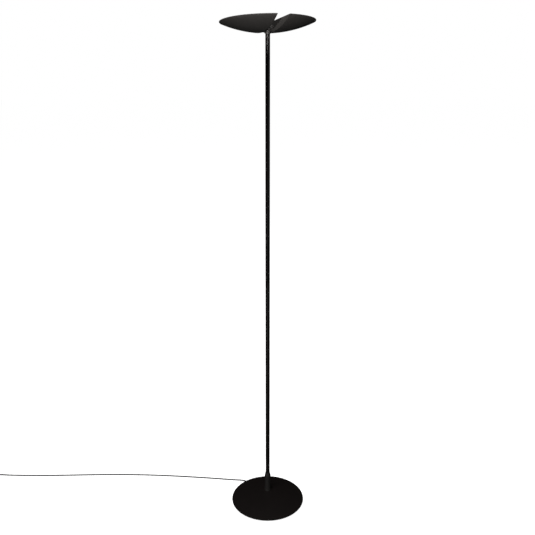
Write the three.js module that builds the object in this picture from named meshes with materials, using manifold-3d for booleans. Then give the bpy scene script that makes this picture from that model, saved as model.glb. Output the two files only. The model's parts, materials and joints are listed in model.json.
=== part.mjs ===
// Torchiere floor lamp: a black dish head, split into two leaves, on a slim pole and a flat round base.
// Millimetres, +Z up. The origin is on the floor under the centre of the base disc; the front is -Y.
// The head is shown as it stands in use: turned a little on the pole and tipped a little on its hinge.
import * as THREE from 'three';
import { mergeVertices } from 'three/addons/utils/BufferGeometryUtils.js';
import Module from 'manifold-3d';

const wasm = await Module();
wasm.setup();

// ---------- driving dimensions ----------
const GAP = 0.3; // clearance between neighbouring pieces
const OVERHANG = 1; // how far a cutter runs past the face that it opens

const BASE_RADIUS = 142;
const BASE_TOP = 10;
const PAD_THICKNESS = 2;
const PAD_RADIUS = 128;
const PAD_HOLE_RADIUS = 15;
const PAD_SLOT_HALF_WIDTH = 7;
const LIP_BOTTOM = 8.4;
const UNDERCUT = 11;
const EDGE_BEVEL = 0.6;
const POLE_Y = 53; // the pole stands behind the centre of the base

const POLE_RADIUS = 8;
const POLE_BORE = 6.6;
const POLE_FOOT = 34.3;
const POLE_SEAM = 896;
const POLE_TOP = 1761;
const COUPLER_HALF_LENGTH = 45;
const COUPLER_BORE = 4.3;

const SOCKET_RADIUS = 12;
const SOCKET_FLANGE_RADIUS = 12.8;
const SOCKET_FLANGE_TOP = BASE_TOP + 1.8;
const SOCKET_SHOULDER = 75;
const SOCKET_TOP = 90;
const SOCKET_TOP_WALL = 0.7;
const SOCKET_BORE = POLE_RADIUS + GAP;
const SOCKET_FLOOR_BORE = 4;
const SET_SCREW_Z = 56;
const SET_SCREW_RADIUS = 2.2;
const SET_SCREW_FLATS = 2;
const BASE_SCREW_CIRCLE = 9;

const CORD_RADIUS = 2.5;
const LEAD_Z = 4.4; // height of the lead in the groove under the base
const LEAD_BEND = 7;
const LEAD_HOLE_RADIUS = 5;
const GROOVE_ANGLE = THREE.MathUtils.degToRad(180 - 34);
const GROOVE_HALF_WIDTH = 3.2;
const GROOVE_TOP = 7.9;
const RELIEF_POCKET_HALF_WIDTH = 4.4;
const RELIEF_POCKET_TOP = 8.6;
const RELIEF_START = 84; // distances along the groove from the pole's axis
const RELIEF_END = 110;
const RELIEF_FLANGE = [3.8, 2.5]; // radius and length
const RELIEF_NECK_RADIUS = 3.5;
const RELIEF_TIP_RADIUS = 3.1;
const CLIP_AT = 56;
const CLIP_BOTTOM = 0.5;
const CLIP_THICKNESS = 1.2;
const CLIP_WIDTH = 8;
const CLIP_HALF_LENGTH = 12;
const CLIP_SCREW_OFFSET = 8;

const PIN_Z = 1783; // height of the hinge pin
const SWIVEL_AT_REST = THREE.MathUtils.degToRad(18.6);
const TILT_AT_REST = THREE.MathUtils.degToRad(-3.4);

const DISH_RADIUS = 161;
const RIM_Z = 19.7; // heights in the head are over the hinge pin
const RIM_EDGE = 1.8; // upright edge of the sheet at the rim
const DISH_BOTTOM = -15.1;
const SKIN = 2.2;
const WALL = 2.5;
const HALF_SLIT = 14.8; // half the slit's width at the hinge
const SLIT_FLAT = 12; // the slit's sides are parallel for this far from the hinge, then flare out
const SLIT_FLARE = 0.037;

const AXLE_RADIUS = 4;
const AXLE_HALF_LENGTH = 25.5;
const AXLE_BORE = 2.3;
const AXLE_FLAT = 3.2;
const WASHER_THICKNESS = 0.7;
const WASHER_RADIUS = 10;
const SPRING_THICKNESS = 0.8;
const SPRING_RADIUS = 7.4;
const NUT_THICKNESS = 5;
const NUT_FLATS = 13;
const KNUCKLE_HALF_WIDTH = HALF_SLIT - WASHER_THICKNESS - 2 * GAP;
const KNUCKLE_RADIUS = 10.5;
const NECK_RADIUS = 9.6;
const STUB_RADIUS = 4.3;
const STUB_END = 1733;
const STUB_GROOVE_RADIUS = 3.7;
const BUSH_FLANGE_TOP = POLE_TOP + 2;
const BUSH_BOTTOM = POLE_TOP - 22;
const LEAD_BORE = 2.9;

const PLATE_BOTTOM = 8.2;
const PLATE_TOP = 9.7;
const PLATE_RADIUS = 126;
const PLATE_SCREW_RADIUS = 1.2;
const PLATE_SCREW_LENGTH = 7;
const PLATE_SCREW_HEAD = [2.6, 1.6]; // radius and height
const BOSS_RADIUS = 3.5;
const BOSS_CIRCLE = 70;
const BOSS_ANGLES = [-40, 0, 40].map(THREE.MathUtils.degToRad);
const BOARD_TOP = 11.2;
const BOARD_INNER = 86;
const BOARD_OUTER = 118;
const BOARD_HALF_ANGLE = THREE.MathUtils.degToRad(70);
const DIODES = 15;
const DIODE_SIZE = 5;
const DIODE_HEIGHT = 0.8;
const DIFFUSER_BOTTOM = 15.4;
const DIFFUSER_TOP = 17.6;
const DIFFUSER_CLEARANCE = 0.9;
const PEG_RADIUS = 2.5;
const PEG_CIRCLE = 122.5;
const PEG_ANGLES = [-60, 0, 60].map(THREE.MathUtils.degToRad);
const DRIVER = { x: [31, 63], halfWidth: 36, z: [-4, PLATE_BOTTOM - GAP], corner: 3 };
const WIRE_RADIUS = 1.6;
const WIRE_EXIT_Y = 8; // where the board's wire leaves the driver
const WIRE_EXIT_Z = 2;
const WIRE_HOLE_X = 80;
const WIRE_HOLE_RADIUS = 3;

const CORD_Z = 2.6; // height of the cord's centre where it lies on the floor
const DIMMER_CENTRE = new THREE.Vector3(-1195, 160, 0);
const DIMMER_LENGTH = 82;
const DIMMER_WIDTH = 36;
const DIMMER_SPLIT = 10;
const DIMMER_TOP = 22;
const DIMMER_WALL = 2;
const DIMMER_CORNER = 12;
const DIMMER_EDGE_BELOW = 1.2;
const DIMMER_EDGE_ABOVE = 3;
const DIMMER_CORD_Z = 6;
const DIMMER_COLLAR_RADIUS = 4.6;
const DIMMER_BOSS_RADIUS = 3.6;
const DIMMER_BOARD = { length: 50, width: 28, corner: 3, z: [11.5, 13], bossClearance: 5 };
const BUTTON_RADIUS = 10;
const BUTTON_FLANGE = 1.5; // its width and its thickness
const BUTTON_STEM_RADIUS = 3;
const BUTTON_STEM_END = 15.5;
const BUTTON_TRAVEL = 1.5;
const BUTTON_STANDS_OUT = 2;
const SWITCH_SIZE = 6;

const COIL_CENTRE = new THREE.Vector3(-1282, 190, 0);
const COIL_RADIUS = 27.5;
const COIL_BOTTOM = 1;
const COIL_ROUNDING = 1.5;
const OUTER_TURN = COIL_RADIUS + CORD_RADIUS;
const TIE_WIDTH = 12;
const TIE_THICKNESS = 0.6;
const TIE_REACH = [-8, 7]; // from the middle of the coil's ring, outwards and inwards
const PLUG_REAR_X = -1238;
const PLUG_LENGTH = 36;
const PLUG_THICKNESS = 13.6;
const PLUG_BOTTOM = 0.2;
const PLUG_HALF_WIDTH = 17.6;
const PLUG_REAR_HALF_WIDTH = 5;
const PLUG_NECK = [8, 6.5]; // length and half width
const PLUG_SHOULDER = 24;
const PLUG_EDGE = 2.4;
const PIN_SPACING = 18.6;
const PLUG_PIN_RADIUS = 2;
const PLUG_PIN_LENGTH = 28;
const PLUG_PIN_DEPTH = 9; // how far the pins reach into the plug

// ---------- materials ----------
const paint = (color, roughness, metalness) => new THREE.MeshStandardMaterial({
  color,
  roughness,
  metalness,
});
const blackPaint = paint(0x14110f, 0.45, 0.2);
const charcoalPaint = paint(0x2c2927, 0.6, 0.2);
const bareSteel = paint(0x9a9c9e, 0.35, 1);
const aluminium = paint(0xc4c6c8, 0.4, 1);
const opal = paint(0xf2f0ea, 0.45, 0);
const boardWhite = paint(0xe9ece6, 0.6, 0);
const blackRubber = paint(0x161616, 0.85, 0);
const cordJacket = paint(0x1c1b1a, 0.6, 0);
const blackPlastic = paint(0x141414, 0.45, 0);
const fibre = paint(0x2b2621, 0.7, 0);
const whitePlastic = paint(0xdedcd5, 0.5, 0);
const nickel = paint(0xcfd0cc, 0.25, 1);

// ---------- shape helpers ----------
const smoothness = (radius) => Math.round(THREE.MathUtils.clamp(10 + radius / 3, 14, 56));

// A closed mesh with shared vertices and no collapsed triangles, its faces turned outwards.
function closed(geometry) {
  const bare = geometry.clone();
  bare.deleteAttribute('normal');
  bare.deleteAttribute('uv');
  const merged = mergeVertices(bare, 1e-3);
  const position = merged.attributes.position;
  const faces = [];
  let volume = 0;
  const [a, b, c] = [0, 1, 2].map(() => new THREE.Vector3());
  for (let i = 0; i < merged.index.count; i += 3) {
    const face = [0, 1, 2].map((k) => merged.index.getX(i + k));
    if (new Set(face).size < 3) continue;
    [a, b, c].forEach((corner, k) => corner.fromBufferAttribute(position, face[k]));
    volume += a.dot(b.clone().cross(c)) / 6;
    faces.push(face);
  }
  if (volume < 0) faces.forEach((face) => face.reverse());
  const result = new THREE.BufferGeometry();
  result.setAttribute('position', position);
  result.setIndex(faces.flat());
  return result;
}

const solid = (geometry) => {
  const shape = closed(geometry);
  return new wasm.Manifold(new wasm.Mesh({
    numProp: 3,
    vertProperties: new Float32Array(shape.attributes.position.array),
    triVerts: new Uint32Array(shape.index.array),
  }));
};

function geometryOf(body) {
  const mesh = body.getMesh();
  const geometry = new THREE.BufferGeometry();
  geometry.setAttribute('position', new THREE.BufferAttribute(mesh.vertProperties, mesh.numProp));
  geometry.setIndex(new THREE.BufferAttribute(mesh.triVerts, 1));
  return geometry;
}

// The first shape with the others joined to it, cut from it, or kept in common.
const join = (...shapes) => geometryOf(shapes.map(solid).reduce((a, b) => a.add(b)));
const cut = (...shapes) => geometryOf(shapes.map(solid).reduce((a, b) => a.subtract(b)));
const common = (...shapes) => geometryOf(shapes.map(solid).reduce((a, b) => a.intersect(b)));

// A solid of revolution about Z from [radius, height] points; the outline closes on itself.
function turned(outline, segments = smoothness(Math.max(...outline.map(([radius]) => radius)))) {
  const points = [...outline, outline[0]].map(([radius, height]) => new THREE.Vector2(radius, height));
  return closed(new THREE.LatheGeometry(points, segments).rotateX(Math.PI / 2));
}

const ring = (inner, outer, low, high) => [[inner, low], [outer, low], [outer, high], [inner, high]];
const rod = (radius, low, high, segments) => turned(ring(0, radius, low, high), segments);
const sleeve = (outer, inner, low, high) => turned(ring(inner, outer, low, high));
const hexagon = (acrossFlats, low, high) => rod(acrossFlats / Math.sqrt(3), low, high, 6);
const block = (x, y, z) => new THREE.BoxGeometry(x, y, z);

// Turns a shape built along Z so that it runs along direction, and moves its origin to start.
function aimed(geometry, direction, start = new THREE.Vector3()) {
  const turn = new THREE.Quaternion()
    .setFromUnitVectors(new THREE.Vector3(0, 0, 1), direction.clone().normalize());
  return geometry.applyQuaternion(turn).translate(start.x, start.y, start.z);
}

// A tube of the cord's kind along a smooth curve through the points.
function tube(points, radius, steps, sides = 8) {
  const section = new THREE.Shape(
    Array.from({ length: sides }, (_, i) => (2 * Math.PI * (i + 0.5)) / sides)
      .map((angle) => new THREE.Vector2(radius * Math.cos(angle), radius * Math.sin(angle))),
  );
  const extrudePath = new THREE.CatmullRomCurve3(points.map((point) => new THREE.Vector3(...point)));
  return closed(new THREE.ExtrudeGeometry(section, { steps, extrudePath, bevelEnabled: false }));
}

const slab = (shape, low, high, bevel = 0) => closed(new THREE.ExtrudeGeometry(shape, {
  depth: high - low - 2 * bevel,
  bevelEnabled: bevel > 0,
  bevelThickness: bevel,
  bevelSize: bevel,
  bevelOffset: -bevel,
  bevelSegments: 2,
  curveSegments: 5,
}).translate(0, 0, low + bevel));

function roundedRectangle(length, width, corner) {
  const [x, y] = [length / 2, width / 2];
  const shape = new THREE.Shape();
  shape.absarc(x - corner, y - corner, corner, 0, Math.PI / 2);
  shape.absarc(-x + corner, y - corner, corner, Math.PI / 2, Math.PI);
  shape.absarc(-x + corner, -y + corner, corner, Math.PI, 1.5 * Math.PI);
  shape.absarc(x - corner, -y + corner, corner, 1.5 * Math.PI, 2 * Math.PI);
  return shape;
}

// A countersunk screw that points up from its head, with a slotted head, and the hole that it needs.
const screw = (radius, headRadius, length) => {
  const head = turned([[0, 0], [headRadius, 0], [headRadius, 0.4], [radius, headRadius - radius + 0.4],
    [radius, length - radius / 2], [radius / 2, length], [0, length]], 10);
  return cut(head, block(2 * headRadius, 0.9, 1.8));
};
const screwHole = (radius, headRadius, length) => turned([[0, -OVERHANG], [headRadius + GAP, -OVERHANG],
  [headRadius + GAP, 0.5], [radius + GAP, headRadius - radius + 0.8],
  [radius + GAP, length + GAP], [0, length + GAP]], 10);

// ---------- scene graph ----------
const lamp = new THREE.Group();
function add(parent, name, material, geometry, position = [0, 0, 0]) {
  const mesh = new THREE.Mesh(geometry, material);
  mesh.name = name;
  mesh.position.set(...position);
  parent.add(mesh);
  return mesh;
}

// ---------- base ----------
const grooveDirection = new THREE.Vector3(Math.cos(GROOVE_ANGLE), Math.sin(GROOVE_ANGLE), 0);
const alongGroove = (distance, z = LEAD_Z) => grooveDirection.clone().multiplyScalar(distance)
  .add(new THREE.Vector3(0, POLE_Y, z));

// A straight channel along the groove, cut up into the disc from below.
function channel(from, to, halfWidth, top) {
  const middle = alongGroove((from + to) / 2, (top - OVERHANG) / 2);
  return block(to - from, 2 * halfWidth, top + OVERHANG).rotateZ(GROOVE_ANGLE)
    .translate(middle.x, middle.y, middle.z);
}

const screwAngles = [0, 1, 2].map((i) => GROOVE_ANGLE + Math.PI + (i * 2 * Math.PI) / 3);
const BASE_SCREW = [2, 3.7, 16]; // radius, head radius and length
const baseScrewPlaces = screwAngles.map((angle) => [
  BASE_SCREW_CIRCLE * Math.cos(angle),
  POLE_Y + BASE_SCREW_CIRCLE * Math.sin(angle),
  PAD_THICKNESS + GAP,
]);
const CLIP_SCREW = [1.2, 2.2, 5];
const clipScrewPlaces = [-1, 1].map((side) => {
  const across = grooveDirection.clone().applyAxisAngle(new THREE.Vector3(0, 0, 1), Math.PI / 2);
  return alongGroove(CLIP_AT, CLIP_BOTTOM).addScaledVector(across, side * CLIP_SCREW_OFFSET).toArray();
});

const baseBlank = turned([[0, PAD_THICKNESS], [BASE_RADIUS - UNDERCUT, PAD_THICKNESS],
  [BASE_RADIUS, LIP_BOTTOM], [BASE_RADIUS, BASE_TOP - EDGE_BEVEL], [BASE_RADIUS - EDGE_BEVEL, BASE_TOP],
  [0, BASE_TOP]], 60);
add(lamp, 'base_disc', blackPaint, cut(
  baseBlank,
  rod(LEAD_HOLE_RADIUS, -OVERHANG, BASE_TOP + OVERHANG).translate(0, POLE_Y, 0),
  channel(0, RELIEF_START, GROOVE_HALF_WIDTH, GROOVE_TOP),
  channel(RELIEF_START - 4, RELIEF_END + 20, RELIEF_POCKET_HALF_WIDTH, RELIEF_POCKET_TOP),
  ...baseScrewPlaces.map((place) => screwHole(...BASE_SCREW).translate(...place)),
  ...clipScrewPlaces.map((place) => screwHole(...CLIP_SCREW).translate(...place)),
));

add(lamp, 'base_pad', blackRubber, cut(
  rod(PAD_RADIUS, 0, PAD_THICKNESS - GAP / 3, 56),
  rod(PAD_HOLE_RADIUS, -OVERHANG, PAD_THICKNESS + OVERHANG).translate(0, POLE_Y, 0),
  channel(0, RELIEF_END + 40, PAD_SLOT_HALF_WIDTH, PAD_THICKNESS + OVERHANG),
  channel(CLIP_AT - 6, CLIP_AT + 6, CLIP_HALF_LENGTH + 2, PAD_THICKNESS + OVERHANG),
));

const clipPlate = block(CLIP_WIDTH, 2 * CLIP_HALF_LENGTH, CLIP_THICKNESS).rotateZ(GROOVE_ANGLE)
  .translate(...alongGroove(CLIP_AT, CLIP_BOTTOM + CLIP_THICKNESS / 2).toArray());
add(lamp, 'cord_clip', bareSteel, cut(
  clipPlate,
  ...clipScrewPlaces.map((place) => screwHole(...CLIP_SCREW).translate(...place)),
));
clipScrewPlaces.forEach((place, i) => {
  add(lamp, `cord_clip_screw_${i + 1}`, bareSteel, screw(...CLIP_SCREW), place);
});
baseScrewPlaces.forEach((place, i) => {
  add(lamp, `base_screw_${i + 1}`, bareSteel, screw(...BASE_SCREW), place);
});

// The relief is a tapered sleeve with a flange that sits in the wide end of the groove.
const reliefLength = RELIEF_END - RELIEF_START;
const [flangeRadius, flangeLength] = RELIEF_FLANGE;
const relief = turned([[CORD_RADIUS + GAP, 0], [flangeRadius, 0], [flangeRadius, flangeLength],
  [RELIEF_NECK_RADIUS, flangeLength + 1], [RELIEF_TIP_RADIUS, reliefLength],
  [CORD_RADIUS + GAP, reliefLength]], 20);
add(lamp, 'strain_relief', blackRubber, aimed(relief, grooveDirection, alongGroove(RELIEF_START)));

// ---------- pole socket and pole ----------
const toRear = new THREE.Vector3(0, 1, 0);
const socketBlank = turned([[SOCKET_FLOOR_BORE, BASE_TOP + GAP], [SOCKET_FLANGE_RADIUS, BASE_TOP + GAP],
  [SOCKET_FLANGE_RADIUS, SOCKET_FLANGE_TOP], [SOCKET_RADIUS, SOCKET_FLANGE_TOP + 0.8],
  [SOCKET_RADIUS, SOCKET_SHOULDER], [SOCKET_BORE + SOCKET_TOP_WALL, SOCKET_TOP], [SOCKET_BORE, SOCKET_TOP],
  [SOCKET_BORE, POLE_FOOT - GAP], [SOCKET_FLOOR_BORE, POLE_FOOT - GAP]], 28).translate(0, POLE_Y, 0);
add(lamp, 'pole_socket', charcoalPaint, cut(
  socketBlank,
  aimed(rod(SET_SCREW_RADIUS + GAP, 0, 2 * SOCKET_RADIUS), toRear, new THREE.Vector3(0, POLE_Y, SET_SCREW_Z)),
  ...baseScrewPlaces.map((place) => screwHole(...BASE_SCREW).translate(...place)),
));
const setScrewLength = SOCKET_RADIUS - SOCKET_BORE - 2 * GAP;
add(lamp, 'socket_set_screw', bareSteel, aimed(
  cut(rod(SET_SCREW_RADIUS, 0, setScrewLength), hexagon(SET_SCREW_FLATS, setScrewLength / 2, SOCKET_RADIUS)),
  toRear,
  new THREE.Vector3(0, POLE_Y + SOCKET_BORE + GAP, SET_SCREW_Z),
));

const onPole = (geometry) => geometry.translate(0, POLE_Y, 0);
add(lamp, 'pole_lower', blackPaint, onPole(sleeve(POLE_RADIUS, POLE_BORE, POLE_FOOT, POLE_SEAM - GAP / 2)));
add(lamp, 'pole_upper', blackPaint, onPole(sleeve(POLE_RADIUS, POLE_BORE, POLE_SEAM + GAP / 2, POLE_TOP)));
add(lamp, 'pole_coupler', bareSteel, onPole(
  sleeve(POLE_BORE - GAP, COUPLER_BORE, POLE_SEAM - COUPLER_HALF_LENGTH, POLE_SEAM + COUPLER_HALF_LENGTH),
));

// The lead runs along the groove, turns up through the base and climbs the pole to the hinge.
const bend = alongGroove(LEAD_BEND, LEAD_Z + LEAD_BEND);
const bendPoints = Array.from({ length: 7 }, (_, i) => {
  const angle = (i * Math.PI) / 12;
  return bend.clone().addScaledVector(grooveDirection, -LEAD_BEND * Math.sin(angle))
    .add(new THREE.Vector3(0, 0, -LEAD_BEND * Math.cos(angle))).toArray();
});
const leadRun = aimed(
  rod(CORD_RADIUS, 0, RELIEF_END - LEAD_BEND, 12),
  grooveDirection,
  alongGroove(LEAD_BEND),
);
const LEAD_TOP = PIN_Z - AXLE_RADIUS - 2 * GAP;
const leadRise = onPole(rod(CORD_RADIUS - 0.02, LEAD_Z + LEAD_BEND - 0.5, LEAD_TOP, 12));
const leadBend = tube([alongGroove(LEAD_BEND + 1).toArray(), ...bendPoints], CORD_RADIUS - 0.01, 9, 12);
add(lamp, 'inner_lead', cordJacket, join(leadRun, leadBend, leadRise));

// ---------- swivel ----------
add(lamp, 'swivel_bush', blackPlastic, onPole(turned([
  [STUB_RADIUS + GAP, BUSH_BOTTOM], [POLE_BORE - GAP, BUSH_BOTTOM], [POLE_BORE - GAP, POLE_TOP + GAP],
  [POLE_RADIUS, POLE_TOP + GAP], [POLE_RADIUS, BUSH_FLANGE_TOP], [STUB_RADIUS + GAP, BUSH_FLANGE_TOP],
])));

const swivel = new THREE.Group();
swivel.position.set(0, POLE_Y, PIN_Z);
swivel.rotation.z = SWIVEL_AT_REST;
lamp.add(swivel);

const across = new THREE.Vector3(1, 0, 0); // along the hinge pin
const crosswise = (geometry, x) => aimed(geometry, across, new THREE.Vector3(x, 0, 0));
const fromPin = (z) => z - PIN_Z;
const RING_GROOVE = [fromPin(STUB_END + 2.5), fromPin(STUB_END + 4.3)];

// The knuckle is a barrel across the slit, on a neck with a hollow stub that turns in the bush.
const knuckleBarrel = crosswise(rod(KNUCKLE_RADIUS, 0, 2 * KNUCKLE_HALF_WIDTH, 28), -KNUCKLE_HALF_WIDTH);
const knuckleNeck = turned([[0, fromPin(STUB_END)], [STUB_RADIUS, fromPin(STUB_END)],
  [STUB_RADIUS, RING_GROOVE[0]], [STUB_GROOVE_RADIUS, RING_GROOVE[0]], [STUB_GROOVE_RADIUS, RING_GROOVE[1]],
  [STUB_RADIUS, RING_GROOVE[1]], [STUB_RADIUS, fromPin(BUSH_FLANGE_TOP + GAP)],
  [NECK_RADIUS, fromPin(BUSH_FLANGE_TOP + GAP)], [NECK_RADIUS, -AXLE_RADIUS], [0, -AXLE_RADIUS]], 24);
add(swivel, 'knuckle', charcoalPaint, cut(
  join(knuckleBarrel, knuckleNeck),
  crosswise(rod(AXLE_RADIUS + GAP, 0, 4 * KNUCKLE_HALF_WIDTH, 20), -2 * KNUCKLE_HALF_WIDTH),
  rod(LEAD_BORE, fromPin(STUB_END) - OVERHANG, 0, 16),
));

const RING_ENDS = [Math.PI * 0.6, Math.PI * 2.4];
const ringShape = new THREE.Shape();
ringShape.absarc(0, 0, POLE_BORE - 2 * GAP, ...RING_ENDS);
ringShape.absarc(0, 0, STUB_GROOVE_RADIUS + GAP / 2, ...RING_ENDS.toReversed(), true);
add(swivel, 'retaining_ring', bareSteel, slab(ringShape, RING_GROOVE[0] + GAP, RING_GROOVE[1] - GAP));

// ---------- head ----------
const head = new THREE.Group();
head.rotation.x = TILT_AT_REST;
swivel.add(head);

const axleBlank = crosswise(rod(AXLE_RADIUS, 0, 2 * AXLE_HALF_LENGTH, 20), -AXLE_HALF_LENGTH);
const axleFlats = [-1, 1].flatMap((side) => [-1, 1].map((face) => {
  const length = AXLE_HALF_LENGTH - KNUCKLE_HALF_WIDTH;
  return block(length, 3 * AXLE_RADIUS, AXLE_RADIUS)
    .translate(side * (KNUCKLE_HALF_WIDTH + 1 + length / 2), 0, face * (AXLE_FLAT + AXLE_RADIUS / 2));
}));
add(head, 'hinge_axle', bareSteel, cut(
  axleBlank,
  crosswise(rod(AXLE_BORE, 0, 2 * (AXLE_HALF_LENGTH + OVERHANG), 12), -AXLE_HALF_LENGTH - OVERHANG),
  rod(AXLE_BORE, -2 * AXLE_RADIUS, 0, 12),
  ...axleFlats,
));

// Half of a dish seen from above: bounded by the slit's side and by an arc.
function leafOutline(inset, radius) {
  const edge = HALF_SLIT + inset;
  const start = edge - SLIT_FLARE * SLIT_FLAT; // where the flared side would cross the hinge pin
  const k = 1 + SLIT_FLARE ** 2;
  const y = (Math.sqrt((start * SLIT_FLARE) ** 2 - k * (start ** 2 - radius ** 2)) - start * SLIT_FLARE) / k;
  const end = Math.atan2(y, start + SLIT_FLARE * y);
  const shape = new THREE.Shape();
  shape.moveTo(edge, SLIT_FLAT);
  shape.lineTo(edge, -SLIT_FLAT);
  shape.absarc(0, 0, radius, -end, end);
  return shape;
}

// Height of the dish's outer surface over the hinge pin, and the radius where it has a given height.
const DISH_DEPTH = RIM_Z - RIM_EDGE - DISH_BOTTOM;
const bulge = (DISH_RADIUS ** 2 + DISH_DEPTH ** 2) / (2 * DISH_DEPTH);
const dishZ = (radius) => DISH_BOTTOM + bulge - Math.sqrt(bulge ** 2 - radius ** 2);
const dishRadiusAt = (z) => Math.sqrt(bulge ** 2 - (DISH_BOTTOM + bulge - z) ** 2);

// The full dish with its rim's upright edge, or, for a skin, the hollow inside that skin.
function dish(skin) {
  const rim = Math.min(DISH_RADIUS, dishRadiusAt(RIM_Z - skin));
  const top = RIM_Z + (skin ? OVERHANG : 0);
  const steps = 7;
  const outline = Array.from({ length: steps + 1 }, (_, i) => rim * Math.sin((i * Math.PI) / (2 * steps)))
    .map((radius) => [radius, dishZ(radius) + skin]);
  return turned([...outline, [rim, top], [0, top]], 60);
}

const prism = (inset, low, high, radius = DISH_RADIUS + 10) => slab(leafOutline(inset, radius), low, high);
const onBossCircle = (angle) => [BOSS_CIRCLE * Math.cos(angle), BOSS_CIRCLE * Math.sin(angle)];
const bossPlaces = BOSS_ANGLES.map(onBossCircle);
const boss = ([x, y]) => rod(BOSS_RADIUS, dishZ(BOSS_CIRCLE) + SKIN / 2, PLATE_BOTTOM - GAP)
  .translate(x, y, 0);
const pilot = ([x, y]) => rod(PLATE_SCREW_RADIUS + GAP, -2, RIM_Z).translate(x, y, 0);

const leafBody = cut(
  common(dish(0), prism(0, -40, 40)),
  common(dish(SKIN), prism(WALL, -40, 40)),
);
const axleHole = common(
  crosswise(rod(AXLE_RADIUS + GAP, HALF_SLIT - 1, HALF_SLIT + WALL + 1, 20), 0),
  block(60, 20, 2 * (AXLE_FLAT + GAP)),
);
const leafShell = cut(join(leafBody, ...bossPlaces.map(boss)), axleHole, ...bossPlaces.map(pilot));

const heatPlate = () => {
  const shape = leafOutline(WALL + 1, PLATE_RADIUS);
  const hole = (x, y, radius) =>
    shape.holes.push(new THREE.Path().absarc(x, y, radius, 0, 2 * Math.PI, true));
  bossPlaces.forEach(([x, y]) => hole(x, y, PLATE_SCREW_RADIUS + GAP));
  hole(WIRE_HOLE_X, 0, WIRE_HOLE_RADIUS);
  return slab(shape, PLATE_BOTTOM, PLATE_TOP);
};

// The board is an arc of white laminate with a row of square light-emitting diodes.
const ledBoard = () => {
  const shape = new THREE.Shape();
  shape.absarc(0, 0, BOARD_OUTER, -BOARD_HALF_ANGLE, BOARD_HALF_ANGLE);
  shape.absarc(0, 0, BOARD_INNER, BOARD_HALF_ANGLE, -BOARD_HALF_ANGLE, true);
  const diodes = Array.from({ length: DIODES }, (_, i) => {
    const angle = BOARD_HALF_ANGLE * 0.93 * ((2 * i) / (DIODES - 1) - 1);
    return block(DIODE_SIZE, DIODE_SIZE, 2 * DIODE_HEIGHT)
      .translate((BOARD_INNER + BOARD_OUTER) / 2, 0, BOARD_TOP).rotateZ(angle);
  });
  return join(slab(shape, PLATE_TOP + GAP, BOARD_TOP), ...diodes);
};

// The diffuser follows the dish's inner slope at its edge and stands on three pegs.
const diffuser = () => {
  const radiusAt = (z) => dishRadiusAt(z - SKIN) - DIFFUSER_CLEARANCE;
  const [low, high] = [DIFFUSER_BOTTOM, DIFFUSER_TOP].map(radiusAt);
  const disc = turned([[0, DIFFUSER_BOTTOM], [low, DIFFUSER_BOTTOM], [high, DIFFUSER_TOP],
    [0, DIFFUSER_TOP]], 60);
  const pegs = PEG_ANGLES.map((angle) => rod(PEG_RADIUS, PLATE_TOP + GAP, DIFFUSER_BOTTOM + 0.5)
    .translate(PEG_CIRCLE, 0, 0).rotateZ(angle));
  return join(common(disc, prism(WALL + 2 * GAP, 0, 40)), ...pegs);
};

const driverBox = () => slab(
  roundedRectangle(DRIVER.x[1] - DRIVER.x[0], 2 * DRIVER.halfWidth, DRIVER.corner),
  ...DRIVER.z,
).translate((DRIVER.x[0] + DRIVER.x[1]) / 2, 0, 0);

// Along the pin, from the knuckle outwards.
const WASHER = [KNUCKLE_HALF_WIDTH + GAP, HALF_SLIT - GAP];
const SPRING_WASHER = [HALF_SLIT + WALL + GAP, HALF_SLIT + WALL + GAP + SPRING_THICKNESS];
const NUT = [SPRING_WASHER[1] + GAP, SPRING_WASHER[1] + GAP + NUT_THICKNESS];
const annulus = (outer, [from, to]) => crosswise(sleeve(outer, AXLE_RADIUS + GAP, 0, to - from), from);

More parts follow.
